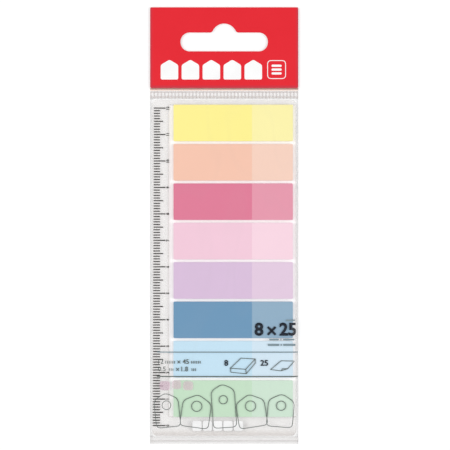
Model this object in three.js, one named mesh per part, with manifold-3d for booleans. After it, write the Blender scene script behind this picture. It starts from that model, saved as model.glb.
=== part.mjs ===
// Sticky index tabs: eight pads of film tabs on a clear ruler card, in a clear
// film bag with a red header that has a hanging slot.
//
// The pack lies on its back. X runs across it, Y runs up it to the header, and
// Z points away from the table. The origin is under the middle of the pack.

import * as THREE from 'three';
import { mergeVertices } from 'three/addons/utils/BufferGeometryUtils.js';
import Module from 'manifold-3d';

// Ruler card
const RULER_WIDTH = 54.4;
const RULER_LENGTH = 127.1;
const RULER_THICKNESS = 0.5;
const RULER_CORNER = 1.9;

// Pads of tabs, each one a stack of sheets
const PAD_WIDTH = 45;
const PAD_HEIGHT = 13.7;
const PAD_THICKNESS = 1.5;
const PAD_CORNER = 0.4;
const PAD_SPACING = 1.17;
const SCALE_MARGIN = 8.1;
const PADS_BELOW_RULER_TOP = 2;
const PADS = [
  { colour: 'yellow', tint: 0xfff392 },
  { colour: 'peach', tint: 0xf7c6af },
  { colour: 'rose', tint: 0xdd839c },
  { colour: 'pink', tint: 0xf4cbdc },
  { colour: 'lilac', tint: 0xdabfdc },
  { colour: 'blue', tint: 0x749cbc },
  { colour: 'sky', tint: 0xc6e4f5 },
  { colour: 'green', tint: 0xc3dec7 },
];

// Film bag
const FILM = 0.2;
const SIDE_PLAY = 0.6;
const END_PLAY = 0.5;
const FOLD_RADIUS = 0.6;
const RIDGE_RADIUS = 1.2;
const MOUTH_WIDTH = 40;
const MOUTH_GAPE = 0.8;
const MOUTH_BELOW_WELD = 0.9;

// Ribbed weld over the pocket and plain seal under it
const WELD_HEIGHT = 2.6;
const WELD_MARGIN = 1.3;
const RIB_PITCH = 1.32;
const RIB_RISE = 0.2;
const SEAL_HEIGHT = 2.5;
const BEAD_WIDTH = 0.5;
const BEAD_RISE = 0.1;
const BEAD_ABOVE_EDGE = 0.8;

// Header and its hanging slot
const HEADER_HEIGHT = 30.5;
const HEADER_THICKNESS = 0.4;
const HEADER_CORNER = 0.5;
const SLOT_WIDTH = 33;
const SLOT_HEIGHT = 7.1;
const SLOT_END_RADIUS = 3.4;
const SLOT_RISE = 10.5;
const HUMP_RADIUS = 4.8;
const HUMP_FILLET = 1.2;
const SLOT_BELOW_TOP = 6.15;

// Clearance between pieces that lie on each other
const CLEARANCE = 0.3;

// Fineness of round stretches, and how near two points are before they count as one
const ARC_STEPS = 8;
const FOLD_STEPS = 4;
const STEPS_PER_RIB = 6;
const MERGE_DISTANCE = 1e-5;

// Sizes that follow from those above
const packWidth = RULER_WIDTH + 2 * (SIDE_PLAY + FILM);
const pocketLength = RULER_LENGTH + 2 * END_PLAY;
const packLength = SEAL_HEIGHT + pocketLength + WELD_HEIGHT + WELD_MARGIN + HEADER_HEIGHT;
const weldThickness = 2 * FILM;

// Heights of the layers
const rulerBack = FILM + CLEARANCE;
const rulerFront = rulerBack + RULER_THICKNESS;
const padBack = rulerFront + CLEARANCE;
const padFront = padBack + PAD_THICKNESS;
const shoulderHeight = rulerFront + CLEARANCE + FILM;
const pocketHeight = padFront + CLEARANCE + FILM;
const headerBack = weldThickness + CLEARANCE;

// Places up the pack
const packBottom = -packLength / 2;
const packTop = packLength / 2;
const pocketBottom = packBottom + SEAL_HEIGHT;
const pocketTop = pocketBottom + pocketLength;
const weldTop = pocketTop + WELD_HEIGHT;
const headerBottom = weldTop + WELD_MARGIN;
const rulerTop = pocketTop - END_PLAY;
const padsTop = rulerTop - PADS_BELOW_RULER_TOP;
const padPitch = PAD_HEIGHT + PAD_SPACING;
const padsBottom = padsTop - PADS.length * padPitch + PAD_SPACING;
const slotBottom = packTop - SLOT_BELOW_TOP - SLOT_RISE;

// Places across the pack
const padsLeft = -RULER_WIDTH / 2 + SCALE_MARGIN;
const padsRight = padsLeft + PAD_WIDTH;

const wasm = await Module();
wasm.setup();

// Joining and cutting

function toSolid(geometry) {
  const bare = geometry.clone();
  bare.deleteAttribute('normal');
  bare.deleteAttribute('uv');
  const merged = mergeVertices(bare, MERGE_DISTANCE);
  const vertProperties = new Float32Array(merged.attributes.position.array);
  const triVerts = new Uint32Array(merged.index.array);
  return new wasm.Manifold(new wasm.Mesh({ numProp: 3, vertProperties, triVerts }));
}

function toGeometry(solid) {
  const mesh = solid.getMesh();
  const geometry = new THREE.BufferGeometry();
  geometry.setAttribute('position', new THREE.BufferAttribute(mesh.vertProperties, 3));
  geometry.setIndex(new THREE.BufferAttribute(mesh.triVerts, 1));
  const faceted = geometry.toNonIndexed();
  faceted.computeVertexNormals();
  return faceted;
}

// Outlines and extrusions

function extrude(shape, depth, curveSegments = ARC_STEPS) {
  return new THREE.ExtrudeGeometry(shape, { depth, curveSegments, bevelEnabled: false });
}

// Takes an outline drawn in X and Z and extrudes it along Y, from one place to another.
function extrudeAlongY(shape, from, to, curveSegments) {
  return extrude(shape, to - from, curveSegments).rotateX(Math.PI / 2).translate(0, to, 0);
}

// Takes an outline drawn in Y and Z and extrudes it along X, evenly about the middle.
function extrudeAlongX(shape, width, curveSegments) {
  const turned = new THREE.Matrix4().makeBasis(
    new THREE.Vector3(0, 1, 0), new THREE.Vector3(0, 0, 1), new THREE.Vector3(1, 0, 0));
  return extrude(shape, width, curveSegments).applyMatrix4(turned).translate(-width / 2, 0, 0);
}

function block(left, right, bottom, top, back, front) {
  const geometry = new THREE.BoxGeometry(right - left, top - bottom, front - back);
  return geometry.translate((left + right) / 2, (bottom + top) / 2, (back + front) / 2);
}

function roundedRectangle(left, right, bottom, top, radius) {
  const quarter = Math.PI / 2;
  const shape = new THREE.Shape();
  shape.absarc(right - radius, top - radius, radius, 0, quarter);
  shape.absarc(left + radius, top - radius, radius, quarter, 2 * quarter);
  shape.absarc(left + radius, bottom + radius, radius, 2 * quarter, 3 * quarter);
  shape.absarc(right - radius, bottom + radius, radius, 3 * quarter, 4 * quarter);
  shape.closePath();
  return shape;
}

// Directions at one corner of a convex outline that runs anticlockwise.
function cornerOf(outline, index) {
  const corner = outline[index];
  const back = outline.at(index - 1).at.clone().sub(corner.at).normalize();
  const onward = outline[(index + 1) % outline.length].at.clone().sub(corner.at).normalize();
  const inward = back.clone().add(onward).normalize();
  return { corner, back, onward, inward, halfAngle: back.angleTo(onward) / 2 };
}

// Moves each side of a convex outline in by the thickness of the film.
function insetOutline(outline, thickness) {
  return outline.map((_, index) => {
    const { corner, inward, halfAngle } = cornerOf(outline, index);
    const at = corner.at.clone().addScaledVector(inward, thickness / Math.sin(halfAngle));
    return { at, radius: Math.max(corner.radius - thickness, 0) };
  });
}

function roundedOutline(outline) {
  const shape = new THREE.Shape();
  const turn = new THREE.Vector2();
  outline.forEach((_, index) => {
    const { corner, back, onward, inward, halfAngle } = cornerOf(outline, index);
    const { at, radius } = corner;
    if (radius === 0) {
      if (index === 0) shape.moveTo(at.x, at.y);
      else shape.lineTo(at.x, at.y);
      return;
    }
    const centre = at.clone().addScaledVector(inward, radius / Math.sin(halfAngle));
    const reach = radius / Math.tan(halfAngle);
    const start = turn.copy(at).addScaledVector(back, reach).sub(centre).angle();
    const end = turn.copy(at).addScaledVector(onward, reach).sub(centre).angle();
    shape.absarc(centre.x, centre.y, radius, start, end);
  });
  shape.closePath();
  return shape;
}

function point(x, y, radius = 0) {
  return { at: new THREE.Vector2(x, y), radius };
}

// Film bag

// The pocket seen from its end: folds at both sides, and film drawn over the pads.
const acrossOutline = [
  point(-packWidth / 2, 0, FOLD_RADIUS),
  point(packWidth / 2, 0, FOLD_RADIUS),
  point(packWidth / 2, shoulderHeight, FOLD_RADIUS),
  point(padsRight + CLEARANCE, pocketHeight, RIDGE_RADIUS),
  point(padsLeft - CLEARANCE, pocketHeight, RIDGE_RADIUS),
  point(-packWidth / 2, shoulderHeight, FOLD_RADIUS),
];

// The pocket seen from its side: it rises from the seal to the pads and falls to the weld.
const alongOutline = [
  point(pocketBottom, 0),
  point(pocketTop, 0),
  point(pocketTop, shoulderHeight, FOLD_RADIUS),
  point(padsTop + CLEARANCE, pocketHeight, RIDGE_RADIUS),
  point(padsBottom - CLEARANCE, pocketHeight, RIDGE_RADIUS),
  point(pocketBottom, shoulderHeight, FOLD_RADIUS),
];

function pocketSolid(inset) {
  const across = roundedOutline(insetOutline(acrossOutline, inset));
  const along = roundedOutline(insetOutline(alongOutline, inset));
  const acrossSolid = toSolid(extrudeAlongY(across, packBottom, packTop, FOLD_STEPS));
  const alongSolid = toSolid(extrudeAlongX(along, 2 * packWidth, FOLD_STEPS));
  return acrossSolid.intersect(alongSolid);
}

function mouth() {
  const top = pocketTop - FILM - MOUTH_BELOW_WELD;
  const half = MOUTH_WIDTH / 2;
  return toSolid(block(-half, half, top - MOUTH_GAPE, top, -FILM, FILM + CLEARANCE / 2));
}

// The weld's ribs run up the pack, so its outline is a row of waves.
function weldOutline() {
  const ribs = Math.floor(packWidth / RIB_PITCH);
  const ribsLeft = (-ribs * RIB_PITCH) / 2;
  const shape = new THREE.Shape();
  shape.moveTo(-packWidth / 2, 0);
  shape.lineTo(packWidth / 2, 0);
  shape.lineTo(packWidth / 2, weldThickness);
  for (let step = ribs * STEPS_PER_RIB; step >= 0; step -= 1) {
    const share = step / STEPS_PER_RIB;
    const rise = (RIB_RISE / 2) * (1 - Math.cos(2 * Math.PI * share));
    shape.lineTo(ribsLeft + share * RIB_PITCH, weldThickness + rise);
  }
  shape.lineTo(-packWidth / 2, weldThickness);
  shape.closePath();
  return shape;
}

function seals() {
  const left = -packWidth / 2;
  const right = packWidth / 2;
  const overlap = FILM / 2;
  const ribbed = extrudeAlongY(weldOutline(), pocketTop - overlap, weldTop);
  const margin = block(left, right, weldTop - overlap, headerBottom, 0, weldThickness);
  const seal = block(left, right, packBottom, pocketBottom + overlap, 0, weldThickness);
  const beadBottom = packBottom + BEAD_ABOVE_EDGE;
  const bead = block(left, right, beadBottom, beadBottom + BEAD_WIDTH, FILM, weldThickness + BEAD_RISE);
  return [ribbed, margin, seal, bead].map(toSolid);
}

// The hanging slot is wide and flat, with a round hump in the middle of its top edge.
function hangingSlot() {
  const top = slotBottom + SLOT_HEIGHT;
  const end = SLOT_WIDTH / 2 - SLOT_END_RADIUS;
  const humpY = slotBottom + SLOT_RISE - HUMP_RADIUS;
  const filletY = top + HUMP_FILLET;
  const filletX = Math.sqrt((HUMP_RADIUS + HUMP_FILLET) ** 2 - (filletY - humpY) ** 2);
  const meet = Math.atan2(filletY - humpY, filletX);
  const quarter = Math.PI / 2;
  const low = slotBottom + SLOT_END_RADIUS;
  const high = top - SLOT_END_RADIUS;
  const path = new THREE.Path();
  path.absarc(-end, low, SLOT_END_RADIUS, 2 * quarter, 3 * quarter);
  path.absarc(end, low, SLOT_END_RADIUS, 3 * quarter, 4 * quarter);
  path.absarc(end, high, SLOT_END_RADIUS, 0, quarter);
  path.absarc(filletX, filletY, HUMP_FILLET, 3 * quarter, 2 * quarter + meet, true);
  path.absarc(0, humpY, HUMP_RADIUS, meet, 2 * quarter - meet);
  path.absarc(-filletX, filletY, HUMP_FILLET, -meet, -quarter, true);
  path.absarc(-end, high, SLOT_END_RADIUS, quarter, 2 * quarter);
  path.closePath();
  return path;
}

// A sheet as wide as the pack, from some place up to the pack's top, with the slot in it.
function slottedSheet(bottom, thickness) {
  const shape = roundedRectangle(-packWidth / 2, packWidth / 2, bottom, packTop, HEADER_CORNER);
  shape.holes.push(hangingSlot());
  return extrude(shape, thickness);
}

function bagGeometry() {
  const tail = toSolid(slottedSheet(weldTop, FILM));
  const pocket = pocketSolid(0).subtract(pocketSolid(FILM)).subtract(mouth());
  return toGeometry(seals().reduce((whole, seal) => whole.add(seal), pocket.add(tail)));
}

// Assembly

function piece(name, geometry, colour, finish = {}) {
  const material = new THREE.MeshStandardMaterial({ color: colour, roughness: 0.4, metalness: 0, ...finish });
  const mesh = new THREE.Mesh(geometry, material);
  mesh.name = name;
  return mesh;
}

function bag() {
  const clear = { roughness: 0.15, transparent: true, opacity: 0.25 };
  return piece('film_bag', bagGeometry(), 0xf0efee, clear);
}

function header() {
  const mesh = piece('header', slottedSheet(headerBottom, HEADER_THICKNESS), 0xe5303b, { roughness: 0.3 });
  mesh.position.z = headerBack;
  return mesh;
}

function rulerCard() {
  const half = RULER_WIDTH / 2;
  const outline = roundedRectangle(-half, half, rulerTop - RULER_LENGTH, rulerTop, RULER_CORNER);
  const clear = { roughness: 0.2, transparent: true, opacity: 0.4 };
  const mesh = piece('ruler_card', extrude(outline, RULER_THICKNESS), 0xeae7e4, clear);
  mesh.position.z = rulerBack;
  return mesh;
}

function pad({ colour, tint }, index) {
  const outline = roundedRectangle(padsLeft, padsRight, padsTop - PAD_HEIGHT, padsTop, PAD_CORNER);
  const mesh = piece(`tab_pad_${colour}`, extrude(outline, PAD_THICKNESS, FOLD_STEPS), tint);
  mesh.position.set(0, -index * padPitch, padBack);
  return mesh;
}

const pack = new THREE.Group();
pack.name = 'sticky_index_tabs';
pack.add(bag(), header(), rulerCard(), ...PADS.map(pad));

export default pack;
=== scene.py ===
"""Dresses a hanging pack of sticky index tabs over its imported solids.

The pack lies on its back. X runs across it, Y runs up it to the header, and Z
points out of its front. Every length here is in metres, from millimetres.
"""

import logging
import math
import random
from collections.abc import Iterable, Iterator, Sequence
from dataclasses import dataclass
from enum import Enum

import bmesh
import bpy
from mathutils import Matrix, Vector, noise


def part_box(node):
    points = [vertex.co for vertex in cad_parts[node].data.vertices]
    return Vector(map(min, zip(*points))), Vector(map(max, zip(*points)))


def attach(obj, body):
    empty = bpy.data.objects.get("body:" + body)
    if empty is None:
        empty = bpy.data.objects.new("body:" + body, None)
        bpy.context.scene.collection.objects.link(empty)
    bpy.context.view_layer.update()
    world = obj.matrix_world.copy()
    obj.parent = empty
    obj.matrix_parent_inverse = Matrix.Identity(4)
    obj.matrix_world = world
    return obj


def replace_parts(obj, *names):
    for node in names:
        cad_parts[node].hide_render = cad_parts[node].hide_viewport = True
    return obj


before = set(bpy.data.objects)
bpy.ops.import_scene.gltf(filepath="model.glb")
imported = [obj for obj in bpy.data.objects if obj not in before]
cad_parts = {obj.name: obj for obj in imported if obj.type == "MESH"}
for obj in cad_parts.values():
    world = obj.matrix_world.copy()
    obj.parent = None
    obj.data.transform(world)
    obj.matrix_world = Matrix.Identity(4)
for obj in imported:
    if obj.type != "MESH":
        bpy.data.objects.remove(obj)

log = logging.getLogger("index_tabs")

MM = 0.001
PHOTO_PIXELS = 450
PIXELS_PER_MM = 2.643
BODY = "root"
JOIN_DISTANCE = 0.001 * MM
FINE_JOIN_DISTANCE = 0.0005 * MM
INK_THICKNESS = 0.02 * MM
SATIN_GLOSS = 0.2

Colour = tuple[float, float, float]
Point = tuple[float, float]
Outline = Sequence[Point]
Mesh = bmesh.types.BMesh
Node = bpy.types.Node
Socket = bpy.types.NodeSocket
Material = bpy.types.Material


class TabColour(Enum):
    """The pads from the top of the card down, each with its strong and pale sRGB colour."""

    YELLOW = ((255, 243, 146), (253, 244, 172))
    PEACH = ((247, 198, 175), (247, 210, 192))
    ROSE = ((223, 121, 150), (230, 151, 172))
    PINK = ((244, 203, 220), (249, 215, 228))
    LILAC = ((218, 191, 220), (228, 203, 225))
    BLUE = ((104, 149, 184), (142, 173, 196))
    SKY = ((198, 228, 245), (212, 232, 245))
    GREEN = ((198, 226, 199), (207, 230, 211))

    @property
    def label(self) -> str:
        """The colour's name in lower case, as the solids have it."""
        return self.name.lower()


class TickKind(Enum):
    """How long each kind of tick at the top of the scale is, in millimetres."""

    MILLIMETRE = 2.3
    HALF = 3.45
    CENTIMETRE = 4.35


def linear(srgb: Sequence[float]) -> Colour:
    """Turns an sRGB colour of 0 to 255 into a linear one.

    Args:
        srgb: Red, green and blue as a screen shows them.

    Returns:
        The same colour as a shader takes it.
    """
    shares = [value / 255 for value in srgb[:3]]
    return tuple(s / 12.92 if s <= 0.04045 else ((s + 0.055) / 1.055) ** 2.4 for s in shares)


@dataclass(frozen=True)
class Extent:
    """A box along the axes, in metres."""

    left: float
    right: float
    bottom: float
    top: float
    back: float
    front: float

    @classmethod
    def of(cls, *nodes: str) -> "Extent":
        """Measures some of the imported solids.

        Args:
            nodes: The solids' names.

        Returns:
            The box round all of them.
        """
        boxes = [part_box(node) for node in nodes]
        low = [min(box[0][axis] for box in boxes) for axis in range(3)]
        high = [max(box[1][axis] for box in boxes) for axis in range(3)]
        return cls(low[0], high[0], low[1], high[1], low[2], high[2])

    @property
    def width(self) -> float:
        """The size along X."""
        return self.right - self.left

    @property
    def length(self) -> float:
        """The size along Y."""
        return self.top - self.bottom

    @property
    def middle(self) -> Point:
        """The middle across and along."""
        return (self.left + self.right) / 2, (self.bottom + self.top) / 2


# Node trees


@dataclass
class Tree:
    """A node tree with short calls to add and join its nodes."""

    nodes: bpy.types.Nodes
    links: bpy.types.NodeLinks

    @classmethod
    def of(cls, owner: bpy.types.NodeTree) -> "Tree":
        """Takes up a node tree."""
        return cls(owner.nodes, owner.links)

    def add(self, kind: str, inputs: dict[str | int, object] | None = None, **values: object) -> Node:
        """Adds a node.

        Args:
            kind: The node's Blender type, such as ShaderNodeMath.
            inputs: What its inputs hold or are linked to, by name.
            values: Its properties, by name.

        Returns:
            The new node.
        """
        node = self.nodes.new(kind)
        for name, value in values.items():
            setattr(node, name, value)
        for name, source in (inputs or {}).items():
            self.feed(node, name, source)
        return node

    def feed(self, node: Node, name: str | int, source: object) -> None:
        """Sets an input of a node, or links it.

        Args:
            node: The node.
            name: The input's name or number.
            source: A socket to link, or a number or numbers to set.
        """
        if isinstance(source, bpy.types.NodeSocket):
            self.links.new(source, node.inputs[name])
        else:
            node.inputs[name].default_value = source

    def maths(self, operation: str, *values: Socket | float) -> Socket:
        """Adds a Math node over some values and gives its result."""
        return self.add("ShaderNodeMath", dict(enumerate(values)), operation=operation).outputs[0]

    def product(self, first: Socket | float, second: Socket | float) -> Socket:
        """Multiplies two values."""
        return self.maths("MULTIPLY", first, second)

    def total(self, first: Socket | float, second: Socket | float) -> Socket:
        """Adds two values."""
        return self.maths("ADD", first, second)

    def scaled(self, value: Socket, factor: Socket | float, base: Socket | float) -> Socket:
        """Multiplies a value by a factor and adds a base."""
        return self.maths("MULTIPLY_ADD", value, factor, base)

    def rest(self, share: Socket) -> Socket:
        """What a share leaves of 1."""
        return self.maths("SUBTRACT", 1.0, share)

    def away(self, value: Socket, point: float) -> Socket:
        """How far a value is from a point, either way."""
        return self.maths("ABSOLUTE", self.maths("SUBTRACT", value, point))

    def ramp(self, value: Socket, low: float | Socket, high: float | Socket) -> Socket:
        """Maps low to 0 and high to 1, smoothly and clamped."""
        inputs = {"Value": value, "From Min": low, "From Max": high}
        return self.add("ShaderNodeMapRange", inputs, interpolation_type="SMOOTHSTEP").outputs["Result"]

    def step(self, value: Socket, at: float, softness: float) -> Socket:
        """Turns from 0 to 1 where a value passes a point."""
        return self.ramp(value, at - softness, at + softness)

    def mix(self, share: Socket | float, first: object, second: object, way: str = "MIX") -> Socket:
        """Mixes two colours by a share.

        Args:
            share: How much of the second colour is taken.
            first: A socket or a colour.
            second: A socket or a colour.
            way: The Mix node's blend type.

        Returns:
            The mixed colour.
        """
        node = self.add("ShaderNodeMix", {0: share}, data_type="RGBA", blend_type=way)
        colours = [socket for socket in node.inputs if socket.type == "RGBA"]
        for socket, value in zip(colours, (first, second), strict=True):
            if isinstance(value, bpy.types.NodeSocket):
                self.links.new(value, socket)
            else:
                socket.default_value = (*value, 1.0)
        return next(socket for socket in node.outputs if socket.type == "RGBA")


def new_group(name: str, inputs: dict[str, float], outputs: Sequence[str]) -> bpy.types.NodeTree:
    """Makes an empty shader node group with a Vector input.

    Args:
        name: The group's name.
        inputs: Each further input's name and default.
        outputs: The names of its outputs.

    Returns:
        The group, with its interface made.
    """
    group = bpy.data.node_groups.new(name, "ShaderNodeTree")
    group.interface.new_socket("Vector", in_out="INPUT", socket_type="NodeSocketVector")
    for label, default in inputs.items():
        socket = group.interface.new_socket(label, in_out="INPUT", socket_type="NodeSocketFloat")
        socket.default_value = default
    for label in outputs:
        group.interface.new_socket(label, in_out="OUTPUT", socket_type="NodeSocketFloat")
    return group


def fine_mottle() -> bpy.types.NodeTree:
    """Makes the group for the slight unevenness of printed and coated film.

    Returns:
        A group with the outputs Tone, near 1, Wear, from 0 to 1, and Height.
    """
    broad_to_fine = 0.06
    worn_from, worn_to = 0.35, 0.7
    group = new_group("Fine Mottle", {"Scale": 900.0, "Amount": 0.03}, ("Tone", "Wear", "Height"))
    tree = Tree.of(group)
    given = tree.add("NodeGroupInput").outputs
    scales = (given["Scale"], tree.product(given["Scale"], broad_to_fine))
    fine, broad = (
        tree.add("ShaderNodeTexNoise", {"Vector": given["Vector"], "Scale": scale, "Detail": detail})
        for scale, detail in zip(scales, (3.0, 2.0), strict=True)
    )
    both = tree.total(fine.outputs["Fac"], broad.outputs["Fac"])
    swing = tree.product(tree.maths("SUBTRACT", both, 1.0), given["Amount"])
    wear = tree.ramp(broad.outputs["Fac"], worn_from, worn_to)
    results = {"Tone": tree.total(swing, 1.0), "Wear": wear, "Height": fine.outputs["Fac"]}
    tree.add("NodeGroupOutput", results)
    return group


def film_creases() -> bpy.types.NodeTree:
    """Makes the group for the soft pulls and hairline creases of drawn film.

    Returns:
        A group with the outputs Veil, which is 1 along a crease, and Height.
    """
    turn = (0.0, 0.0, math.radians(24))
    stretch = (1.0, 0.35, 1.0)
    line_relief = 0.15
    group = new_group("Film Creases", {"Scale": 60.0, "Sharpness": 0.05}, ("Veil", "Height"))
    tree = Tree.of(group)
    given = tree.add("NodeGroupInput").outputs
    drawn = tree.add("ShaderNodeMapping", {"Vector": given["Vector"], "Rotation": turn, "Scale": stretch})
    pulls = tree.add(
        "ShaderNodeTexNoise",
        {"Vector": drawn.outputs["Vector"], "Scale": given["Scale"], "Detail": 1.0, "Distortion": 0.6},
    ).outputs["Fac"]
    line = tree.rest(tree.ramp(tree.away(pulls, 0.5), 0.0, given["Sharpness"]))
    height = tree.total(pulls, tree.product(line, line_relief))
    tree.add("NodeGroupOutput", {"Veil": line, "Height": height})
    return group


# Finishes


@dataclass(frozen=True)
class Workshop:
    """The node groups that several finishes share."""

    mottle: bpy.types.NodeTree
    creases: bpy.types.NodeTree

    @classmethod
    def open(cls) -> "Workshop":
        """Builds the shared groups once."""
        return cls(fine_mottle(), film_creases())


@dataclass(frozen=True)
class Coat:
    """A material under way: its tree and shader, the place of a point, and its mottle."""

    shop: Workshop
    material: Material
    tree: Tree
    shader: Node
    place: Socket
    x: Socket
    y: Socket
    mottle: Node

    @classmethod
    def start(cls, name: str, shop: Workshop, grain: float, unevenness: float) -> "Coat":
        """Makes a material that holds one Principled shader and the mottle.

        Args:
            name: The material's name.
            shop: The shared node groups.
            grain: The scale of the mottle.
            unevenness: How much the mottle changes the colour.

        Returns:
            The material, ready for its colour and cover.
        """
        material = bpy.data.materials.new(name)
        material.use_nodes = True
        tree = Tree.of(material.node_tree)
        place = tree.add("ShaderNodeTexCoord").outputs["Object"]
        parts = tree.add("ShaderNodeSeparateXYZ", {0: place}).outputs
        inputs = {"Vector": place, "Scale": grain, "Amount": unevenness}
        mottle = tree.add("ShaderNodeGroup", inputs, node_tree=shop.mottle)
        shader = tree.nodes["Principled BSDF"]
        return cls(shop, material, tree, shader, place, parts["X"], parts["Y"], mottle)

    def feed(self, name: str, value: object) -> None:
        """Sets or links one of the shader's inputs."""
        self.tree.feed(self.shader, name, value)

    def paint(self, colour: Socket | Colour) -> None:
        """Gives the shader a colour, made uneven by the mottle.

        Args:
            colour: The colour, or a socket that gives it.
        """
        tone = self.mottle.outputs["Tone"]
        grey = self.tree.add("ShaderNodeCombineColor", {"Red": tone, "Green": tone, "Blue": tone})
        self.feed("Base Color", self.tree.mix(1.0, colour, grey.outputs[0], "MULTIPLY"))

    def polish(self, roughness: float, wear: float) -> None:
        """Gives the shader a roughness, which is higher by some wear in places."""
        self.feed("Roughness", self.tree.scaled(self.mottle.outputs["Wear"], wear, roughness))

    def raise_by(self, height: Socket, strength: float, depth: float) -> None:
        """Gives the shader a fine relief from a height, of a strength and of a depth in metres."""
        inputs = {"Strength": strength, "Distance": depth, "Height": height}
        self.feed("Normal", self.tree.add("ShaderNodeBump", inputs).outputs["Normal"])

    def creases(self, scale: float) -> Node:
        """Adds the group of creases at a scale, and gives its node."""
        inputs = {"Vector": self.place, "Scale": scale}
        return self.tree.add("ShaderNodeGroup", inputs, node_tree=self.shop.creases)

    def cover(self, veil: Socket, rim_veil: float, shade: float) -> None:
        """Makes the material a clear sheet.

        Args:
            veil: How much of what is behind the sheet hides when it is seen square on.
            rim_veil: How much more it hides when it is seen edge on.
            shade: The share of that cover that also holds back light.
        """
        rim_narrowness = 2.5
        edge_on = self.tree.add("ShaderNodeLayerWeight").outputs["Facing"]
        rim = self.tree.product(self.tree.maths("POWER", edge_on, rim_narrowness), rim_veil)
        eye = self.tree.add("ShaderNodeLightPath").outputs["Is Camera Ray"]
        share = self.tree.scaled(eye, 1.0 - shade, shade)
        self.feed("Alpha", self.tree.product(self.tree.total(veil, rim), share))


@dataclass(frozen=True, kw_only=True)
class Finish:
    """What every finish of the pack has: a name, a fine mottle and a roughness with its wear."""

    name: str
    grain: float
    unevenness: float
    roughness: float
    wear: float

    def material(self, shop: Workshop) -> Material:
        """Builds the finish.

        Args:
            shop: The shared node groups.

        Returns:
            The finish as a material.
        """
        coat = Coat.start(self.name, shop, self.grain, self.unevenness)
        self.dress(coat)
        return coat.material

    def dress(self, coat: Coat) -> None:
        """Gives the coat its colour, cover and relief."""
        raise NotImplementedError


@dataclass(frozen=True, kw_only=True)
class TwoToneFinish(Finish):
    """The satin film of one pad: a strong colour, and a paler one past the split."""

    strong: Colour
    pale: Colour
    split: float
    softness: float = 0.12 * MM
    grain: float = 1400.0
    unevenness: float = 0.03
    roughness: float = 0.42
    wear: float = 0.08
    relief: float = 0.15
    relief_depth: float = 0.02 * MM

    def dress(self, coat: Coat) -> None:
        """Gives the coat its two tones and its satin.

        Args:
            coat: The material under way.
        """
        past = coat.tree.step(coat.x, self.split, self.softness)
        coat.paint(coat.tree.mix(past, self.strong, self.pale))
        coat.polish(self.roughness, self.wear)
        coat.feed("Specular IOR Level", SATIN_GLOSS)
        coat.raise_by(coat.mottle.outputs["Height"], self.relief, self.relief_depth)


@dataclass(frozen=True, kw_only=True)
class ClearFilmFinish(Finish):
    """Clear film: a faint veil that thickens along creases, folds, the bead and the foot."""

    edge: float
    foot: float
    bead: float = 0.0
    veil: float = 0.03
    crease_veil: float = 0.015
    left_fold_veil: float = 0.38
    right_fold_veil: float = 0.22
    bead_veil: float = 0.0
    foot_veil: float = 0.1
    rim_veil: float = 0.4
    shade: float = 0.4
    fold_reach: float = 1.5 * MM
    fold_core: float = 0.2 * MM
    bead_core: float = 0.1 * MM
    bead_reach: float = 0.45 * MM
    foot_core: float = 0.6 * MM
    foot_reach: float = 1.8 * MM
    middle_softness: float = 1.0 * MM
    tint: Colour = (0.7, 0.69, 0.69)
    grain: float = 1600.0
    unevenness: float = 0.04
    roughness: float = 0.16
    wear: float = 0.06
    crease_scale: float = 55.0
    relief: float = 0.35
    relief_depth: float = 0.25 * MM

    def dress(self, coat: Coat) -> None:
        """Gives the coat its veil and its creases.

        Args:
            coat: The material under way.
        """
        tree = coat.tree
        creases = coat.creases(self.crease_scale)
        from_middle = tree.maths("ABSOLUTE", coat.x)
        side = tree.ramp(from_middle, self.edge - self.fold_reach, self.edge - self.fold_core)
        at_right = tree.step(coat.x, 0.0, self.middle_softness)
        side_veil = tree.scaled(at_right, self.right_fold_veil - self.left_fold_veil, self.left_fold_veil)
        on_bead = tree.rest(tree.ramp(tree.away(coat.y, self.bead), self.bead_core, self.bead_reach))
        fold = tree.scaled(side, side_veil, tree.product(on_bead, self.bead_veil))
        crease = tree.product(creases.outputs["Veil"], self.crease_veil)
        low = tree.rest(tree.ramp(coat.y, self.foot + self.foot_core, self.foot + self.foot_reach))
        base = tree.scaled(low, self.foot_veil, self.veil)
        coat.cover(tree.total(tree.total(fold, crease), base), self.rim_veil, self.shade)
        coat.paint(self.tint)
        coat.polish(self.roughness, self.wear)
        coat.raise_by(creases.outputs["Height"], self.relief, self.relief_depth)


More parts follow.
